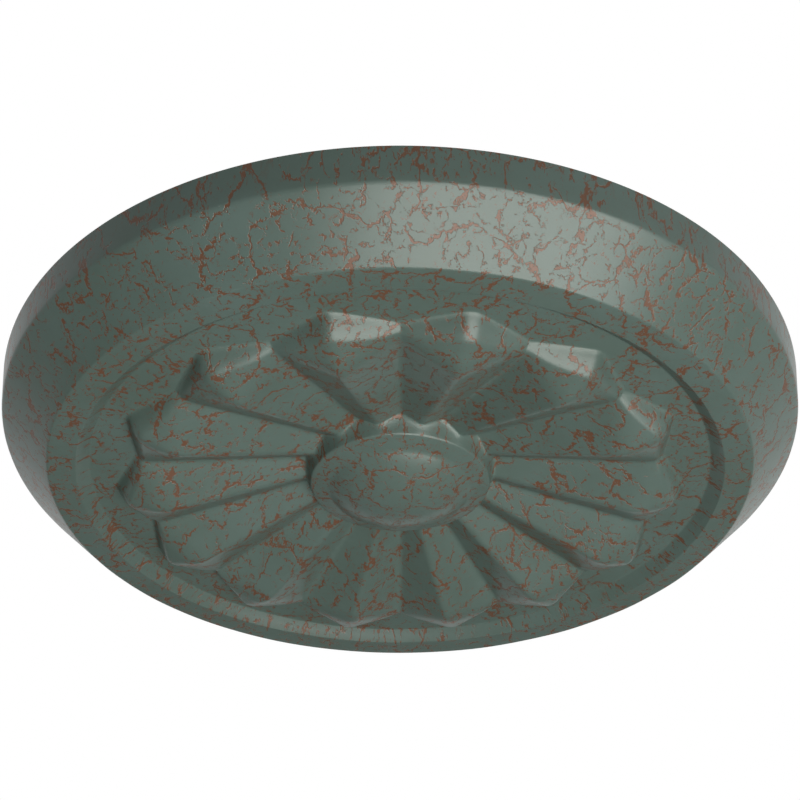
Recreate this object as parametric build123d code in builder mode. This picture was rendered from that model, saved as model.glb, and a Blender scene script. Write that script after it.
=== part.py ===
from build123d import *
from math import atan2, cos, radians, sin, tan
import os

# A round ceiling medallion, cast in one piece with a flat back.
# The origin is the centre of the back face, where it meets the ceiling.
# The decorated face looks down, along -Z. All sizes are in mm, and depths are measured downwards.

# Rim: a short wall, a sloping outer face and a flat land
outer_radius = 203.0
wall_height = 19.0
wall_inset = 2.0
wall_rounding = 4.0
bevel_width = 25.2
bevel_drop = 24.5
crest_rounding = 2.0
land_width = 13.8
land_rounding = 1.0

# Sunk field inside the land, reached by a steep step
step_width = 6.2
step_height = 5.9
step_rounding = 1.5

# Rosette: each petal is a roof that rises to a peak near its outer end
petal_count = 14
field_margin = 11.3
notch_setback = 11.5
peak_setback = 25.7
peak_rise = 16.2
tip_rise = 10.6
notch_rise = 4.0
valley_fall = 11.9
end_wall_slope = 68.0
petal_rounding = 4.0

# Centre button: a tapered wall, a narrow ring and a dome
button_radius = 45.5
button_taper = 4.0
button_wall_height = 16.5
button_set_down = 1.1
button_rounding = 1.5
ring_width = 9.5
ring_drop = 2.9
dome_rise = 13.4
valley_clearance = 1.2
foot_bevel = 2.0

# Back: the solid is at least this thick behind the rosette
web_depth = 10.0

# Depths of the rim, the field and the rosette's corners
crest_depth = wall_height + bevel_drop
field_depth = crest_depth - step_height
valley_inner_depth = field_depth - valley_fall
notch_depth = field_depth + notch_rise
tip_depth = field_depth + tip_rise
peak_depth = field_depth + peak_rise

# Radii, each stepped inwards from the one outside it
crest_radius = outer_radius - wall_inset - bevel_width
land_radius = crest_radius - land_width
field_radius = land_radius - step_width
tip_foot_radius = field_radius - field_margin
notch_foot_radius = tip_foot_radius - notch_setback
peak_radius = tip_foot_radius - peak_setback

# The button's rim, foot and dome, and where the valleys start beside it
button_depth = field_depth - button_set_down
button_foot_depth = button_depth - button_wall_height
button_foot_radius = button_radius + button_taper
dome_radius = button_radius - ring_width
dome_foot_depth = button_depth + ring_drop
dome_depth = dome_foot_depth + dome_rise
dome_sphere_radius = (dome_radius**2 + dome_rise**2) / (2 * dome_rise)
valley_inner_radius = button_radius + valley_clearance

# A petal is drawn about the X axis, between two side planes at this angle.
half_angle = radians(180.0 / petal_count)


def on_side(radius, depth):
    return Vector(radius * cos(half_angle), radius * sin(half_angle), -depth)


def on_middle(radius, depth):
    return Vector(radius, 0, -depth)


def mirrored(point):
    return Vector(point.X, -point.Y, point.Z)


def facing_down(first, second, third):
    normal = (second - first).cross(third - first)
    if normal.Z > 0:
        normal = normal * -1
    return Plane(origin=first, z_dir=normal)


def corner(profile, radius, depth):
    return profile.vertices().sort_by_distance((radius, -depth, 0))[0]


# The end walls stand on a zigzag line in the field and lean back towards the peak.
tip_foot = on_middle(tip_foot_radius, field_depth)
notch_foot = on_side(notch_foot_radius, field_depth)
wall_angle = atan2(tip_foot.X - notch_foot.X, notch_foot.Y)
wall_reach = tip_foot_radius * cos(wall_angle)


def wall_distance(depth):
    return wall_reach - (depth - field_depth) / tan(radians(end_wall_slope))


# Corners of one half of the petal's roof
tip = on_middle(wall_distance(tip_depth) / cos(wall_angle), tip_depth)
notch = on_side(wall_distance(notch_depth) / cos(wall_angle - half_angle), notch_depth)
valley_start = on_side(valley_inner_radius, valley_inner_depth)
peak = on_middle(peak_radius, peak_depth)

# Rim, land and field, turned about the axis
with BuildPart() as rim:
    with BuildSketch(Plane.XZ) as rim_profile:
        with BuildLine():
            Polyline(
                (0, 0),
                (outer_radius, 0),
                (outer_radius - wall_inset, -wall_height),
                (crest_radius, -crest_depth),
                (land_radius, -crest_depth),
                (field_radius, -field_depth),
                (peak_radius, -field_depth),
                (peak_radius, -web_depth),
                (0, -web_depth),
                close=True,
            )
        make_face()
        fillet(corner(rim_profile, outer_radius - wall_inset, wall_height), wall_rounding)
        fillet(corner(rim_profile, crest_radius, crest_depth), crest_rounding)
        fillet(corner(rim_profile, land_radius, crest_depth), land_rounding)
        fillet(corner(rim_profile, field_radius, field_depth), step_rounding)
    revolve(axis=Axis.Z)

# One petal, cut from a wedge by two long facets, two hip facets and two end walls
with BuildPart() as petal:
    with BuildSketch(Plane.XY):
        with BuildLine():
            Polyline(
                (0, 0),
                (outer_radius, outer_radius * tan(half_angle)),
                (outer_radius, -outer_radius * tan(half_angle)),
                close=True,
            )
        make_face()
    extrude(amount=-peak_depth)
    for turn in (lambda point: point, mirrored):
        split(bisect_by=facing_down(turn(valley_start), turn(notch), turn(peak)), keep=Keep.BOTTOM)
        split(bisect_by=facing_down(turn(notch), turn(peak), turn(tip)), keep=Keep.BOTTOM)
        split(bisect_by=facing_down(turn(notch_foot), turn(tip_foot), turn(tip)), keep=Keep.BOTTOM)
    middle_edges = petal.edges().filter_by_position(Axis.Y, -0.01, 0.01)
    ridge_edges = middle_edges.filter_by_position(Axis.X, valley_inner_radius, outer_radius)
    roof_edges = petal.edges().filter_by_position(Axis.Z, -peak_depth, -notch_depth)
    fillet(list(dict.fromkeys(ridge_edges + roof_edges)), petal_rounding)

# The centre button, with its dome a part of a sphere
with BuildPart() as button:
    with BuildSketch(Plane.XZ) as button_profile:
        with BuildLine():
            Polyline(
                (0, -dome_depth),
                (0, 0),
                (button_foot_radius, 0),
                (button_foot_radius, -button_foot_depth),
                (button_radius, -button_depth),
                (dome_radius, -dome_foot_depth),
            )
            RadiusArc((dome_radius, -dome_foot_depth), (0, -dome_depth), dome_sphere_radius)
        make_face()
        fillet(corner(button_profile, button_radius, button_depth), button_rounding)
    revolve(axis=Axis.Z)

# Everything is cast together, and a small bevel softens the corner where the petals meet the button's wall.
with BuildPart() as medallion:
    add(rim.part)
    with PolarLocations(0, petal_count):
        add(petal.part)
    add(button.part)
    wall_edges = medallion.edges(Select.NEW).filter_by(GeomType.LINE, reverse=True)
    chamfer(wall_edges, foot_bevel)

os.makedirs("parts", exist_ok=True)
medallion.part.label = "medallion"
export_step(medallion.part, "parts/medallion.step")
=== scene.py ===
"""A round ceiling medallion: a painted casting with a rosette of petals, seen from below on a plain stage."""

import math

import bpy
import numpy as np
from bpy.props import FloatProperty, FloatVectorProperty, IntProperty, PointerProperty
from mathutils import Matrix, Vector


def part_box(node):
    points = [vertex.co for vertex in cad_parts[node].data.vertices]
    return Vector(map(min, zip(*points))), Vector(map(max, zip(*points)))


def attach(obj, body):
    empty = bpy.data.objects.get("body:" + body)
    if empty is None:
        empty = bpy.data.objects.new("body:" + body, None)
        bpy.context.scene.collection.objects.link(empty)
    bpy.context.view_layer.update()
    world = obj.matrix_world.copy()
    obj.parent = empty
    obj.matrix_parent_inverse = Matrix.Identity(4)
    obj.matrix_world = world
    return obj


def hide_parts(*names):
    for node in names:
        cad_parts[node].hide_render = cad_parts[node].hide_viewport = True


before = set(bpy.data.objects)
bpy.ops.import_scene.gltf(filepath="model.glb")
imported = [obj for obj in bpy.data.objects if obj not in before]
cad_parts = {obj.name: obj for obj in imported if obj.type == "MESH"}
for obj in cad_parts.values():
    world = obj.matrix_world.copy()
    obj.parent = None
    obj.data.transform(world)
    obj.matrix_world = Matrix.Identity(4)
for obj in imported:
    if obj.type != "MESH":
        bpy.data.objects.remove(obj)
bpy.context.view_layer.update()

bl_info = {
    "name": "Ceiling medallion",
    "version": (1, 0, 0),
    "blender": (4, 5, 0),
    "location": "View3D > Sidebar > Medallion",
    "description": "Builds a petalled ceiling medallion with a crackled paint finish",
    "category": "Object",
}

NODE = "medallion"
BODY = "root"
OUTER_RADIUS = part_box(NODE)[1].x

# How finely the mesh is divided. Lengths are in metres, and the starts are measured from the button's edge.
ARC_STEP = math.radians(14)
SHARP_ANGLE = math.radians(60)
AROUND_PETAL = 36
CROWDING = 0.05
RIM_SPACING = 0.0040
BUTTON_SPACING = 0.0016
FOOT_OUTSIDE = 0.0013
FOOT_INSIDE = 0.0100
COVE_START = 0.0075
BUTTON_START = 0.0004
FIELD_RINGS = 5
FOOT_RINGS = 30
ROOF_RINGS = 66
COVE_RINGS = 24
DOME_RINGS = 25

# The sine waves of the slow unevenness: their lengths, and the first heading, turn and shift in radians.
WAVELENGTHS = (0.090, 0.061, 0.043, 0.029)
WAVE_HEADING = 0.7
WAVE_TURN = 2.4
WAVE_SHIFT = 1.9

# The three sizes of cracks, as crack_group takes them. Branches are spaced by a share of the long cracks' spacing.
LONG_CRACKS = {"Width": 0.046, "Bend": 1.0, "Jag": 0.34, "Breaks": 0.39, "Seed": 3.1}
BRANCHES = {"Width": 0.070, "Bend": 1.2, "Jag": 0.45, "Breaks": 0.44, "Seed": 11.7}
FLECKS = {"Width": 0.085, "Bend": 1.2, "Jag": 0.5, "Breaks": 0.49, "Seed": 27.3}
BRANCH_SPACING = 0.45
BREAK_SHARPNESS = 7.0
EDGE_SHARPNESS = 2.2
NEAR_REACH = 0.25
WALL_SPREAD = 0.4
FACE_DEPTH = 0.0533

SENSOR_WIDTH = 36.0
OVERHEAD = -math.pi / 2


def length(name, description, default):
    """A size in metres, shown with the scene's length unit."""
    return FloatProperty(name=name, description=description, default=default, min=0.0, unit="LENGTH", precision=4)


def angle_of(name, description, degrees):
    """An angle, given in degrees."""
    return FloatProperty(name=name, description=description, default=math.radians(degrees), subtype="ANGLE")


def power(name, description, default):
    """The power of a lamp in watts."""
    return FloatProperty(name=name, description=description, default=default, min=0.0, unit="POWER")


def share(name, description, default):
    """A number from 0 to 1."""
    return FloatProperty(name=name, description=description, default=default, min=0.0, max=1.0, subtype="FACTOR")


def colour(name, description, default):
    """A linear red, green and blue colour."""
    return FloatVectorProperty(name=name, description=description, default=default, size=3, subtype="COLOR",
                               min=0.0, max=1.0)


class MedallionShape(bpy.types.PropertyGroup):
    """Sizes of the casting. Depths are measured down from the ceiling."""

    outer_radius: length("Outer radius", "Radius of the back face", OUTER_RADIUS)
    wall_height: length("Wall height", "Height of the short outer wall", 0.0190)
    wall_inset: length("Wall inset", "How far the wall leans in at its lower edge", 0.0020)
    wall_rounding: length("Wall rounding", "Radius between the wall and the bevel", 0.0040)
    bevel_width: length("Bevel width", "Width of the sloping outer face", 0.0252)
    bevel_drop: length("Bevel drop", "How far the sloping face goes down", 0.0245)
    crest_rounding: length("Crest rounding", "Radius between the bevel and the land", 0.0020)
    land_width: length("Land width", "Width of the flat land inside the bevel", 0.0138)
    land_rounding: length("Land rounding", "Radius at the land's inner edge", 0.0010)
    step_width: length("Step width", "Width of the step down from the land to the field", 0.0062)
    step_height: length("Step height", "Height of that step", 0.0059)
    step_rounding: length("Step rounding", "Radius in the corner at the foot of the step", 0.0015)
    petals: IntProperty(name="Petals", description="Number of petals in the rosette", default=14, min=5, max=40)
    field_margin: length("Field margin", "From the foot of the step to the foot of a petal's tip", 0.0113)
    notch_setback: length("Notch setback", "How far the notch between two tips lies inside them", 0.0115)
    peak_setback: length("Peak setback", "How far a petal's peak lies inside its tip", 0.0257)
    peak_rise: length("Peak rise", "Height of a peak above the field", 0.0162)
    tip_rise: length("Tip rise", "Height of a tip's top above the field", 0.0106)
    notch_rise: length("Notch rise", "Height of a valley's outer end above the field", 0.0040)
    valley_fall: length("Valley fall", "How far a valley's inner end lies behind the field", 0.0119)
    wall_slope: angle_of("End wall slope", "Slope of the petals' end walls", 68.0)
    ridge_easing: length("Ridge easing", "Half the width over which a ridge is rounded", 0.0022)
    valley_easing: length("Valley easing", "How softly two petals meet in a valley", 0.0022)
    tip_easing: length("Tip easing", "Half the width over which a tip's upright edge is rounded", 0.0041)
    brow_easing: length("Brow easing", "How softly the roof turns into the end walls", 0.0080)
    hip_easing: length("Hip easing", "How softly the long facets turn into the hip facets", 0.0042)
    foot_easing: length("Foot easing", "How softly the end walls run into the field", 0.0028)
    button_radius: length("Button radius", "Radius of the button's upper edge", 0.0455)
    button_taper: length("Button taper", "How much wider the button's foot is", 0.0040)
    button_height: length("Button height", "Height of the button's wall", 0.0165)
    button_set_down: length("Button set-down", "How far the button's edge lies behind the field", 0.0011)
    button_rounding: length("Button rounding", "Radius of the button's upper edge in section", 0.0015)
    ring_width: length("Ring width", "Width of the ring round the dome", 0.0095)
    ring_drop: length("Ring drop", "How far the ring slopes down to the dome", 0.0029)
    dome_rise: length("Dome rise", "Height of the dome above the ring", 0.0134)
    valley_clearance: length("Valley clearance", "From the button's edge to where the valleys start", 0.0012)
    cove_easing: length("Cove easing", "How softly the petals run into the button's wall", 0.0080)
    unevenness: length("Unevenness", "Mean depth of the casting's slow unevenness", 0.00015)


class MedallionFinish(bpy.types.PropertyGroup):
    """Colours and scales of the crackled paint."""

    paint: colour("Paint", "The paint's main colour", (0.112, 0.167, 0.140))
    paint_cool: colour("Cool paint", "The paint where it leans to blue", (0.130, 0.194, 0.170))
    crackle: colour("Crackle", "The brown undercoat that shows in the cracks", (0.168, 0.086, 0.050))
    crack_spacing: length("Crack spacing", "Usual distance between two long cracks", 0.022)
    fleck_spacing: length("Fleck spacing", "Usual distance between two fine cracks", 0.0060)
    crack_depth: length("Crack depth", "Depth of the cracks in the paint's bump", 0.0002)
    crack_strength: share("Crack strength", "Strength of that bump", 0.5)
    roughness: share("Roughness", "Roughness of the paint", 0.34)
    gloss: share("Gloss", "Level of the paint's reflections, where 0.5 is a usual plastic", 0.15)


class MedallionStudio(bpy.types.PropertyGroup):
    """Where the camera and the lamps stand."""

    camera_back: length("Camera back", "Camera's distance in front of the medallion's axis", 0.6436)
    camera_below: length("Camera below", "Camera's height below the ceiling", 0.4499)
    camera_pitch: angle_of("Camera pitch", "How far the camera looks up", 35.97)
    camera_lens: FloatProperty(name="Lens", description="Focal length in millimetres", default=67.5,
                               subtype="DISTANCE_CAMERA")
    floor_below: length("Floor below", "Distance from the ceiling down to the floor", 2.50)
    floor_reach: length("Floor reach", "Half the width of the floor", 12.0)
    floor_colour: colour("Floor colour", "The pale floor", (0.80, 0.80, 0.80))
    floor_roughness: share("Floor roughness", "Roughness of the floor", 0.9)
    lamps_away: length("Lamp distance", "Distance from the medallion to the softboxes", 1.50)
    lamps_bearing: angle_of("Lamp bearing", "Direction of the softboxes, to the right of the camera", 29.0)
    key_dip: angle_of("Key dip", "How far below the ceiling the key softbox hangs, as an angle", 53.0)
    key_width: length("Key width", "Width of the key softbox", 1.40)
    key_height: length("Key height", "Height of the key softbox", 0.90)
    key_power: power("Key power", "Power of the key softbox", 20.0)
    key_tint: colour("Key tint", "Colour of the key softbox", (1.0, 0.95, 0.95))
    sheen_dip: angle_of("Sheen dip", "How far below the ceiling the reflected softbox hangs, as an angle", 33.0)
    sheen_width: length("Sheen width", "Width of the softbox that only reflections show", 1.80)
    sheen_height: length("Sheen height", "Height of the softbox that only reflections show", 1.95)
    sheen_power: power("Sheen power", "Power of the softbox that only reflections show", 140.0)
    sheen_tint: colour("Sheen tint", "Colour of the softbox in reflections", (1.0, 0.94, 0.90))
    top_size: length("Top size", "Width of the softbox above, which lights the floor and the back", 0.50)
    top_power: power("Top power", "Power of the softbox above", 40.0)
    top_tint: colour("Top tint", "Colour of the softbox above", (1.0, 1.0, 1.0))
    fill_level: share("Fill level", "Brightness of the surrounding light", 0.06)
    fill_tint: colour("Fill tint", "Colour of the surrounding light", (0.97, 1.0, 0.98))


# Shape of the casting


def rounded_min(a, b, size):
    """The smaller of two depths. Where they differ by less than size, a parabola eases the corner."""
    ease = np.clip(1 - np.abs(a - b) / size, 0, None)
    return np.minimum(a, b) - size / 4 * ease**2


def rounded_max(a, b, size):
    """The larger of two depths, eased in the same way."""
    return -rounded_min(-a, -b, size)


def rounded_abs(y, half_width):
    """The distance |y|, with a parabola in place of its corner for |y| under half_width."""
    return np.where(np.abs(y) < half_width, y**2 / (2 * half_width) + half_width / 2, np.abs(y))


def plane_through(first, second, third):
    """Coefficients a, b, c of the depth a + b x + c y that passes through three points (x, y, depth)."""
    points = np.array([first, second, third])
    return np.linalg.solve(np.column_stack([np.ones(3), points[:, :2]]), points[:, 2])


def plane_depth(plane, x, y):
    """The depth a + b x + c y of such a plane."""
    return plane[0] + plane[1] * x + plane[2] * y


def rounded_path(corners, radii, spacing):
    """A path of (radius, depth) through the corners. Each corner between the two ends becomes a tangent arc, and
    the straight runs between the arcs are divided evenly, about spacing apart."""
    corners = np.array(corners, float)
    bends = [corners[:1]]
    for before, corner, after, radius in zip(corners, corners[1:], corners[2:], radii):
        into, out = corner - before, after - corner
        into, out = into / np.hypot(*into), out / np.hypot(*out)
        turn = math.atan2(into[0] * out[1] - into[1] * out[0], into @ out)
        start = corner - into * radius * math.tan(abs(turn) / 2)
        centre = start + radius * math.copysign(1.0, turn) * np.array([-into[1], into[0]])
        angles = np.linspace(0, turn, max(2, math.ceil(abs(turn) / ARC_STEP)) + 1)
        spoke = start - centre
        bends.append(np.column_stack([spoke[0] * np.cos(angles) - spoke[1] * np.sin(angles),
                                      spoke[0] * np.sin(angles) + spoke[1] * np.cos(angles)]) + centre)
    bends.append(corners[-1:])
    path = [bends[0]]
    for bend, after in zip(bends, bends[1:]):
        run = after[0] - bend[-1]
        steps = max(1, round(np.hypot(*run) / spacing))
        path.append(bend[-1] + run * np.linspace(0, 1, steps + 1)[1:, None])
        path.append(after[1:])
    return np.concatenate(path)


def petal_angles(count):
    """Angles of the grid's columns. Within a petal they crowd towards the ridge and the two valleys."""
    across = (np.arange(AROUND_PETAL) - AROUND_PETAL / 2) / AROUND_PETAL
    across = across - CROWDING * np.sin(4 * math.pi * across)
    petal = np.arange(count)[:, None]
    return ((petal + across) * (2 * math.pi / count)).ravel()


def zigzag(s):
    """The zigzag in which the end walls stand on the field: the radius of its tips, half the angle that a petal
    takes up, and the angle by which a wall faces away from its petal's axis."""
    half = math.pi / s.petals
    tip_foot = s.outer_radius - s.wall_inset - s.bevel_width - s.land_width - s.step_width - s.field_margin
    notch_foot = tip_foot - s.notch_setback
    return tip_foot, half, math.atan2(tip_foot - notch_foot * math.cos(half), notch_foot * math.sin(half))


def folded_onto_petal(angle, half):
    """The angle from the nearest petal's ridge, from -half to half."""
    return (angle + half) % (2 * half) - half


def foot_line(angle, s):
    """Radius of the foot of the end walls at each angle: a straight line from each tip to each notch."""
    tip_foot, half, lean = zigzag(s)
    return tip_foot * math.cos(lean) / np.cos(lean - np.abs(folded_onto_petal(angle, half)))


def field_depth(s):
    """Depth of the sunk field round the rosette."""
    return s.wall_height + s.bevel_drop - s.step_height


def button_wall_depth(radius, s):
    """Depth of the button's wall: a steep straight line that ends at the button's edge."""
    edge = field_depth(s) - s.button_set_down
    return edge - (radius - s.button_radius) * s.button_height / s.button_taper


def rosette_depth(radius, angle, s):
    """Depth of the rosette and the field. Each petal is folded onto its own half, and its roof is the least of
    a long facet, a hip facet and an end wall. The long facet runs softly into that of the next petal, and the
    end walls run down to the field. The button's wall rises out of the roof at the inner end."""
    tip_foot, half, lean = zigzag(s)
    folded = folded_onto_petal(angle, half)
    x, y = radius * np.cos(folded), radius * np.sin(folded)
    field = field_depth(s)
    reach = tip_foot * math.cos(lean)

    def on_valley(r, depth):
        return r * math.cos(half), r * math.sin(half), depth

    def wall_reach(rise):
        return reach - rise / math.tan(s.wall_slope)

    tip = (wall_reach(s.tip_rise) / math.cos(lean), 0, field + s.tip_rise)
    notch = on_valley(wall_reach(s.notch_rise) / math.cos(lean - half), field + s.notch_rise)
    valley = on_valley(s.button_radius + s.valley_clearance, field - s.valley_fall)
    peak = (tip_foot - s.peak_setback, 0, field + s.peak_rise)
    long_facet, hip_facet = plane_through(valley, notch, peak), plane_through(notch, peak, tip)
    tip_y = rounded_abs(y, s.tip_easing)
    next_angle = 2 * half - np.abs(folded)
    own = plane_depth(long_facet, x, rounded_abs(y, s.ridge_easing))
    neighbour = plane_depth(long_facet, radius * np.cos(next_angle), radius * np.sin(next_angle))
    long_depth = rounded_max(own, neighbour, s.valley_easing)
    roof = rounded_min(long_depth, plane_depth(hip_facet, x, tip_y), s.hip_easing)
    wall = field + (reach - x * math.cos(lean) - tip_y * math.sin(lean)) * math.tan(s.wall_slope)
    petal = rounded_min(roof, wall, s.brow_easing)
    petal = np.where(wall < roof, rounded_max(petal, field, s.foot_easing), petal)
    return rounded_max(petal, button_wall_depth(radius, s), s.cove_easing)


def spread(outer, inner, steps):
    """Radii between two rings, as rows of steps rings, with the outer ring left out."""
    return outer + (inner - outer) * np.linspace(0, 1, steps + 1)[1:, None]


def casting_grid(s):
    """Angle of every column, radius and depth of every ring from the back edge to the last ring round the top of
    the dome, as arrays with one row for each ring and one column for each angle, and the depth of the dome's top.
    The rim and the button are profiles turned about the axis, the dome is part of a sphere, and the rosette's
    rings follow the zigzag of its end walls and become circles towards the button."""
    angle = petal_angles(s.petals)
    bevel_top = s.outer_radius - s.wall_inset
    crest = bevel_top - s.bevel_width
    land = crest - s.land_width
    field_radius = land - s.step_width
    crest_depth = s.wall_height + s.bevel_drop
    field = field_depth(s)
    field_end = field_radius - s.field_margin / 2
    rim = rounded_path(
        [(s.outer_radius, 0), (bevel_top, s.wall_height), (crest, crest_depth), (land, crest_depth),
         (field_radius, field), (field_end, field)],
        [s.wall_rounding, s.crest_rounding, s.land_rounding, s.step_rounding], RIM_SPACING)
    foot = foot_line(angle, s)[None, :]
    ones = np.ones_like(foot)
    button_start, cove_start = s.button_radius + BUTTON_START, s.button_radius + COVE_START
    rings = np.concatenate([
        spread(field_end * ones, foot + FOOT_OUTSIDE, FIELD_RINGS),
        spread(foot + FOOT_OUTSIDE, foot - FOOT_INSIDE, FOOT_RINGS),
        spread(foot - FOOT_INSIDE, cove_start * ones, ROOF_RINGS),
        spread(cove_start * ones, button_start * ones, COVE_RINGS),
    ])
    rosette = rosette_depth(rings, angle[None, :], s)
    button_edge = button_wall_depth(s.button_radius, s)
    dome_radius, dome_foot = s.button_radius - s.ring_width, button_edge + s.ring_drop
    ring = rounded_path([(button_start, button_wall_depth(button_start, s)), (s.button_radius, button_edge),
                         (dome_radius, dome_foot)], [s.button_rounding], BUTTON_SPACING)[1:]
    sphere = (dome_radius**2 + s.dome_rise**2) / (2 * s.dome_rise)
    dome_top = dome_foot + s.dome_rise
    dome_rings = dome_radius * np.linspace(1, 0, DOME_RINGS + 2)[1:-1]
    dome = np.column_stack([dome_rings, dome_top - sphere + np.sqrt(sphere**2 - dome_rings**2)])
    turned = np.concatenate([ring, dome])
    radius = np.concatenate([rim[:, :1] * ones, rings, turned[:, :1] * ones])
    depth = np.concatenate([rim[:, 1:] * ones, rosette, turned[:, 1:] * ones])
    return angle, radius, depth, dome_top


def slow_waves(x, y):
    """A slow unevenness from -1 to 1: the mean of a few sine waves that cross the casting at odd angles."""
    total = np.zeros_like(x)
    for number, wavelength in enumerate(WAVELENGTHS):
        heading = WAVE_TURN * number + WAVE_HEADING
        along = x * math.cos(heading) + y * math.sin(heading)
        total += np.sin(along * 2 * math.pi / wavelength + WAVE_SHIFT * number)
    return total / len(WAVELENGTHS)


def casting_mesh(name, s):
    """The closed surface of the casting: the back's centre, the rings of casting_grid and the top of the dome.
    A vertex lies at (radius cos angle, radius sin angle, -depth). The slow unevenness fades out at the back."""
    angle, radius, depth, dome_depth = casting_grid(s)
    x, y = radius * np.cos(angle), radius * np.sin(angle)
    fade = np.clip(depth / s.wall_height, 0, 1)
    depth = depth - s.unevenness * fade * (1 + slow_waves(x, y))
    rings, around = depth.shape
    points = np.stack([x, y, -depth], axis=-1).reshape(-1, 3)
    back_centre, dome_top = len(points), len(points) + 1
    points = np.concatenate([points, [[0, 0, 0], [0, 0, s.unevenness - dome_depth]]])
    this = np.arange(around)
    after = (this + 1) % around
    row = (np.arange(rings - 1) * around)[:, None]
    quads = np.stack([row + this, row + around + this, row + around + after, row + after], axis=-1).reshape(-1, 4)
    last = (rings - 1) * around
    back = np.stack([np.full(around, back_centre), this, after], axis=-1)
    top = np.stack([last + after, last + this, np.full(around, dome_top)], axis=-1)
    mesh = bpy.data.meshes.new(name)
    mesh.from_pydata(points.tolist(), [], quads.tolist() + back.tolist() + top.tolist())
    mesh.polygons.foreach_set("use_smooth", np.ones(len(mesh.polygons), bool))
    mesh.set_sharp_from_angle(angle=SHARP_ANGLE)
    mesh.update()
    return mesh


# Finish of the casting


def link(tree, *pairs):
    """Joins sockets two by two."""
    for source, target in pairs:
        tree.links.new(source, target)


def node(tree, kind, operation=None, **values):
    """A new node, with its operation and the values of its inputs, which are given by name, with _ for a space,
    or by number, as i0, i1 and i2."""
    made = tree.nodes.new(kind)
    if operation is not None:
        made.operation = operation
    for name, value in values.items():
        key = int(name[1:]) if name[0] == "i" and name[1:].isdigit() else name.replace("_", " ")
        made.inputs[key].default_value = value
    return made


def flat_noise(tree, **values):
    """A noise that reads only the first two coordinates."""
    made = node(tree, "ShaderNodeTexNoise", **values)
    made.noise_dimensions = "2D"
    return made


def crack_group():
    """A shader node group that draws broken cracks. They follow the borders of cells of a given spacing, which a
    slow noise bends and a fast one makes jagged. Another noise sets the width along the way and breaks the cracks
    where it is low. Near is 1 on a border and falls to 0 within a quarter of the spacing."""
    tree = bpy.data.node_groups.new("broken_cracks", "ShaderNodeTree")
    tree.interface.new_socket("Vector", in_out="INPUT", socket_type="NodeSocketVector")
    for name in ("Spacing", "Width", "Bend", "Jag", "Breaks", "Seed"):
        tree.interface.new_socket(name, in_out="INPUT", socket_type="NodeSocketFloat")
    for name in ("Mask", "Near"):
        tree.interface.new_socket(name, in_out="OUTPUT", socket_type="NodeSocketFloat")
    inputs, outputs = tree.nodes.new("NodeGroupInput").outputs, tree.nodes.new("NodeGroupOutput").inputs
    scaled = node(tree, "ShaderNodeVectorMath", "DIVIDE")
    place = node(tree, "ShaderNodeVectorMath", "ADD")
    link(tree, (inputs["Vector"], scaled.inputs[0]), (inputs["Spacing"], scaled.inputs[1]),
         (scaled.outputs[0], place.inputs[0]), (inputs["Seed"], place.inputs[1]))
    moved = place
    for amount, scale, detail in (("Bend", 1.1, 1.0), ("Jag", 5.5, 3.0)):
        wander = flat_noise(tree, Scale=scale, Detail=detail, Roughness=0.65)
        centred = node(tree, "ShaderNodeVectorMath", "SUBTRACT", i1=(0.5, 0.5, 0.5))
        bent = node(tree, "ShaderNodeVectorMath", "SCALE")
        added = node(tree, "ShaderNodeVectorMath", "ADD")
        link(tree, (place.outputs[0], wander.inputs["Vector"]), (wander.outputs["Color"], centred.inputs[0]),
             (centred.outputs[0], bent.inputs[0]), (inputs[amount], bent.inputs["Scale"]),
             (moved.outputs[0], added.inputs[0]), (bent.outputs[0], added.inputs[1]))
        moved = added
    cells = node(tree, "ShaderNodeTexVoronoi", Scale=1.0)
    cells.feature = "DISTANCE_TO_EDGE"
    cells.voronoi_dimensions = "2D"
    swell = flat_noise(tree, Scale=2.4, Detail=3.0, Roughness=0.7)
    above = node(tree, "ShaderNodeMath", "SUBTRACT")
    whole = node(tree, "ShaderNodeMath", "MULTIPLY", i1=BREAK_SHARPNESS)
    whole.use_clamp = True
    width = node(tree, "ShaderNodeMath", "MULTIPLY")
    edge = node(tree, "ShaderNodeMath", "SUBTRACT")
    sharp = node(tree, "ShaderNodeMath", "DIVIDE")
    strong = node(tree, "ShaderNodeMath", "MULTIPLY", i1=EDGE_SHARPNESS)
    strong.use_clamp = True
    near = node(tree, "ShaderNodeMapRange", From_Min=NEAR_REACH, From_Max=0.0)
    link(tree, (moved.outputs[0], cells.inputs["Vector"]), (place.outputs[0], swell.inputs["Vector"]),
         (swell.outputs["Fac"], above.inputs[0]), (inputs["Breaks"], above.inputs[1]),
         (above.outputs[0], whole.inputs[0]),
         (whole.outputs[0], width.inputs[0]), (inputs["Width"], width.inputs[1]),
         (width.outputs[0], edge.inputs[0]), (cells.outputs["Distance"], edge.inputs[1]),
         (edge.outputs[0], sharp.inputs[0]), (inputs["Width"], sharp.inputs[1]),
         (sharp.outputs[0], strong.inputs[0]), (strong.outputs[0], outputs["Mask"]),
         (cells.outputs["Distance"], near.inputs["Value"]), (near.outputs["Result"], outputs["Near"]))
    return tree


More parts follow.
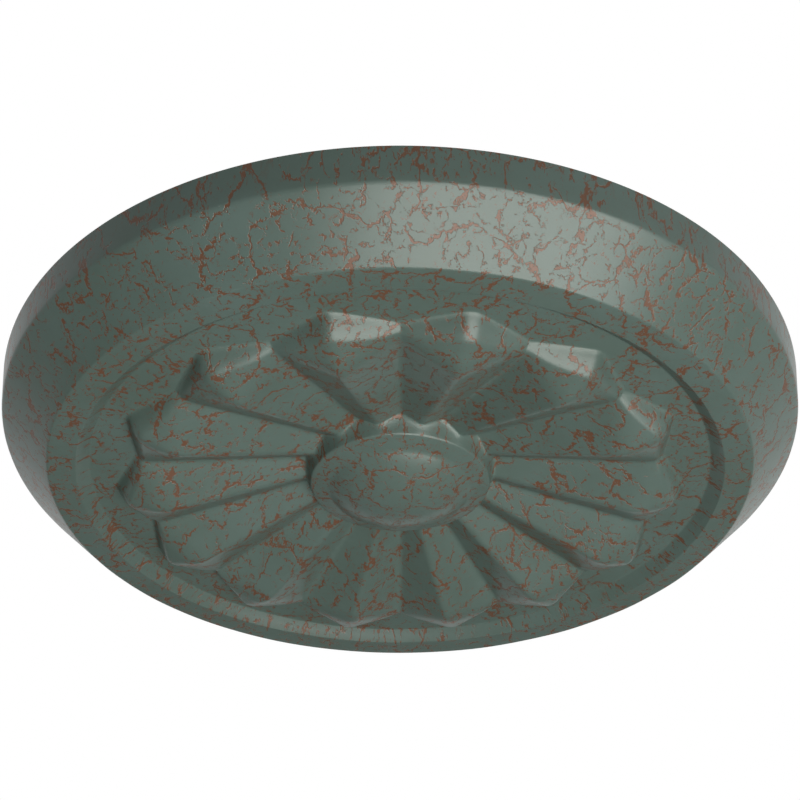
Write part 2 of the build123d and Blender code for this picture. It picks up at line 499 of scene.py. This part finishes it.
def unrolled(tree, place):
    """Flat coordinates for the cracks: (x, y) moved outwards along its own radius by WALL_SPREAD times z +
    FACE_DEPTH, so that a pattern runs on over the steep walls with little stretch."""
    flat = node(tree, "ShaderNodeVectorMath", "MULTIPLY", i1=(1.0, 1.0, 0.0))
    radius = node(tree, "ShaderNodeVectorMath", "LENGTH")
    parts = tree.nodes.new("ShaderNodeSeparateXYZ")
    shift = node(tree, "ShaderNodeMath", "MULTIPLY_ADD", i1=WALL_SPREAD, i2=WALL_SPREAD * FACE_DEPTH)
    relative = node(tree, "ShaderNodeMath", "DIVIDE")
    factor = node(tree, "ShaderNodeMath", "ADD", i1=1.0)
    moved = node(tree, "ShaderNodeVectorMath", "SCALE")
    link(tree, (place, flat.inputs[0]), (flat.outputs[0], radius.inputs[0]), (place, parts.inputs[0]),
         (parts.outputs["Z"], shift.inputs[0]),
         (shift.outputs[0], relative.inputs[0]), (radius.outputs["Value"], relative.inputs[1]),
         (relative.outputs[0], factor.inputs[0]),
         (flat.outputs[0], moved.inputs[0]), (factor.outputs[0], moved.inputs["Scale"]))
    return moved.outputs[0]


def crackled_paint(finish):
    """Satin green paint, warmer and cooler in drifts, over a brown undercoat that shows in long broken cracks,
    in their branches and in fine flecks. Branches and flecks keep near the long cracks or crowd in patches."""
    material = bpy.data.materials.new("crackled_green_paint")
    material.use_nodes = True
    tree = material.node_tree
    shader = tree.nodes["Principled BSDF"]
    place = tree.nodes.new("ShaderNodeTexCoord").outputs["Object"]
    drawn = unrolled(tree, place)
    group = crack_group()

    def cracks(spacing, settings):
        drawing = node(tree, "ShaderNodeGroup")
        drawing.node_tree = group
        for socket, value in (("Spacing", spacing), *settings.items()):
            drawing.inputs[socket].default_value = value
        tree.links.new(drawn, drawing.inputs["Vector"])
        return drawing.outputs

    def combined(operation, first, second):
        made = node(tree, "ShaderNodeMath", operation)
        link(tree, (first, made.inputs[0]), (second, made.inputs[1]))
        return made.outputs[0]

    def patches(scale, low, high):
        noise = flat_noise(tree, Scale=scale, Detail=1.0)
        ranged = node(tree, "ShaderNodeMapRange", From_Min=low, From_Max=high)
        link(tree, (drawn, noise.inputs["Vector"]), (noise.outputs["Fac"], ranged.inputs["Value"]))
        return ranged.outputs["Result"]

    def mixed(factor, second):
        mix = tree.nodes.new("ShaderNodeMix")
        mix.data_type = "RGBA"
        mix.inputs["B"].default_value = (*second, 1)
        tree.links.new(factor, mix.inputs["Factor"])
        return mix

    long_cracks = cracks(finish.crack_spacing, LONG_CRACKS)
    branches = cracks(finish.crack_spacing * BRANCH_SPACING, BRANCHES)
    flecks = cracks(finish.fleck_spacing, FLECKS)
    crowded = patches(scale=24.0, low=0.48, high=0.58)
    branching = combined("MAXIMUM", patches(scale=37.0, low=0.36, high=0.44), crowded)
    broad = combined("MAXIMUM", long_cracks["Mask"], combined("MULTIPLY", branches["Mask"], branching))
    near = combined("MAXIMUM", long_cracks["Near"], crowded)
    every = combined("MAXIMUM", broad, combined("MULTIPLY", flecks["Mask"], near))
    drift = node(tree, "ShaderNodeTexNoise", Scale=14.0, Detail=7.0, Roughness=0.68)
    drifted = node(tree, "ShaderNodeMapRange", From_Min=0.34, From_Max=0.66)
    paint = mixed(drifted.outputs["Result"], finish.paint_cool)
    paint.inputs["A"].default_value = (*finish.paint, 1)
    surface = mixed(every, finish.crackle)
    sink = node(tree, "ShaderNodeBump", Strength=finish.crack_strength, Distance=finish.crack_depth)
    sink.invert = True
    link(tree, (place, drift.inputs["Vector"]), (drift.outputs["Fac"], drifted.inputs["Value"]),
         (paint.outputs["Result"], surface.inputs["A"]), (surface.outputs["Result"], shader.inputs["Base Color"]),
         (broad, sink.inputs["Height"]), (sink.outputs["Normal"], shader.inputs["Normal"]))
    shader.inputs["Roughness"].default_value = finish.roughness
    shader.inputs["Specular IOR Level"].default_value = finish.gloss
    return material


# Stage, lamps and camera


def floor_square(studio):
    """A square floor under the medallion. It stays out of the diffuse light, so that it doesn't light the face."""
    side, z = studio.floor_reach, -studio.floor_below
    mesh = bpy.data.meshes.new("floor")
    mesh.from_pydata([(-side, -side, z), (side, -side, z), (side, side, z), (-side, side, z)], [], [(0, 1, 2, 3)])
    floor = bpy.data.objects.new("floor", mesh)
    bpy.context.scene.collection.objects.link(floor)
    pale = bpy.data.materials.new("pale_floor")
    pale.use_nodes = True
    shader = pale.node_tree.nodes["Principled BSDF"]
    shader.inputs["Base Color"].default_value = (*studio.floor_colour, 1)
    shader.inputs["Roughness"].default_value = studio.floor_roughness
    mesh.materials.append(pale)
    floor.visible_diffuse = False
    return floor


def surrounding_light(studio):
    """A world that is white for the camera, reflections and transmission, and a soft fill for all other light."""
    world = bpy.data.worlds.new("studio")
    world.use_nodes = True
    tree = world.node_tree
    tree.nodes.clear()
    fill = node(tree, "ShaderNodeBackground", Color=(*studio.fill_tint, 1), Strength=studio.fill_level)
    white = node(tree, "ShaderNodeBackground", Color=(1, 1, 1, 1), Strength=1.0)
    chosen = node(tree, "ShaderNodeMixShader")
    output = node(tree, "ShaderNodeOutputWorld")
    path = node(tree, "ShaderNodeLightPath").outputs
    seen, shown = node(tree, "ShaderNodeMath", "MAXIMUM"), node(tree, "ShaderNodeMath", "MAXIMUM")
    link(tree, (path["Is Camera Ray"], seen.inputs[0]), (path["Is Glossy Ray"], seen.inputs[1]),
         (seen.outputs[0], shown.inputs[0]), (path["Is Transmission Ray"], shown.inputs[1]),
         (shown.outputs[0], chosen.inputs["Fac"]), (fill.outputs[0], chosen.inputs[1]),
         (white.outputs[0], chosen.inputs[2]), (chosen.outputs[0], output.inputs["Surface"]))
    return world


def softbox(name, studio, dip, width, height, watts, tint):
    """A broad area lamp that faces the medallion and that the camera doesn't see. Dip is the angle that it hangs
    below the ceiling, towards the lamps' bearing."""
    data = bpy.data.lights.new(name, "AREA")
    data.shape = "RECTANGLE"
    data.size, data.size_y = width, height
    data.energy = watts
    data.color = tint
    lamp = bpy.data.objects.new(name, data)
    along = studio.lamps_away * math.cos(dip)
    lamp.location = (along * math.sin(studio.lamps_bearing), -along * math.cos(studio.lamps_bearing),
                     -studio.lamps_away * math.sin(dip))
    lamp.rotation_euler = (-lamp.location).to_track_quat("-Z", "Y").to_euler()
    lamp.visible_camera = False
    bpy.context.scene.collection.objects.link(lamp)
    return lamp


def studio_camera(studio):
    """The camera, in front of the medallion and below it, looking up."""
    data = bpy.data.cameras.new("camera")
    data.lens = studio.camera_lens
    data.sensor_width = SENSOR_WIDTH
    camera = bpy.data.objects.new("camera", data)
    camera.location = (0, -studio.camera_back, -studio.camera_below)
    camera.rotation_euler = (math.pi / 2 + studio.camera_pitch, 0, 0)
    bpy.context.scene.collection.objects.link(camera)
    return camera


class MEDALLION_OT_casting(bpy.types.Operator):
    """Builds the casting in place of its plain solid."""

    bl_idname = "medallion.casting"
    bl_label = "Casting"

    def execute(self, context):
        scene = context.scene
        mesh = casting_mesh("medallion_casting", scene.medallion_shape)
        casting = bpy.data.objects.new("medallion_casting", mesh)
        scene.collection.objects.link(casting)
        mesh.materials.append(crackled_paint(scene.medallion_finish))
        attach(casting, BODY)
        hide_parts(NODE)
        return {"FINISHED"}


class MEDALLION_OT_stage(bpy.types.Operator):
    """Builds the floor, the surrounding light, the lamps and the camera."""

    bl_idname = "medallion.stage"
    bl_label = "Stage"

    def execute(self, context):
        scene = context.scene
        studio = scene.medallion_studio
        floor = floor_square(studio)
        scene.world = surrounding_light(studio)
        key = softbox("softbox_key", studio, studio.key_dip, studio.key_width, studio.key_height,
                      studio.key_power, studio.key_tint)
        key.visible_glossy = False
        sheen = softbox("softbox_sheen", studio, studio.sheen_dip, studio.sheen_width, studio.sheen_height,
                        studio.sheen_power, studio.sheen_tint)
        sheen.visible_diffuse = False
        softbox("softbox_top", studio, OVERHEAD, studio.top_size, studio.top_size,
                studio.top_power, studio.top_tint)
        scene.camera = studio_camera(studio)
        scene.view_settings.view_transform = "Standard"
        return {"FINISHED"}


class MEDALLION_PT_panel(bpy.types.Panel):
    """Lists the sizes, the finish and the steps of the medallion."""

    bl_idname = "MEDALLION_PT_panel"
    bl_label = "Ceiling medallion"
    bl_space_type = "VIEW_3D"
    bl_region_type = "UI"
    bl_category = "Medallion"

    def draw(self, context):
        scene = context.scene
        for group in (scene.medallion_shape, scene.medallion_finish, scene.medallion_studio):
            box = self.layout.box()
            for name in group.__annotations__:
                box.prop(group, name)
        self.layout.operator(MEDALLION_OT_casting.bl_idname)
        self.layout.operator(MEDALLION_OT_stage.bl_idname)


CLASSES = (MedallionShape, MedallionFinish, MedallionStudio, MEDALLION_OT_casting, MEDALLION_OT_stage,
           MEDALLION_PT_panel)


def register():
    """Registers the classes and hangs the settings on the scene."""
    for cls in CLASSES:
        bpy.utils.register_class(cls)
    bpy.types.Scene.medallion_shape = PointerProperty(type=MedallionShape)
    bpy.types.Scene.medallion_finish = PointerProperty(type=MedallionFinish)
    bpy.types.Scene.medallion_studio = PointerProperty(type=MedallionStudio)


def unregister():
    """Takes the settings off the scene and removes the classes."""
    del bpy.types.Scene.medallion_shape
    del bpy.types.Scene.medallion_finish
    del bpy.types.Scene.medallion_studio
    for cls in reversed(CLASSES):
        bpy.utils.unregister_class(cls)


def main():
    register()
    bpy.ops.medallion.casting()
    bpy.ops.medallion.stage()


if __name__ == "__main__":
    main()
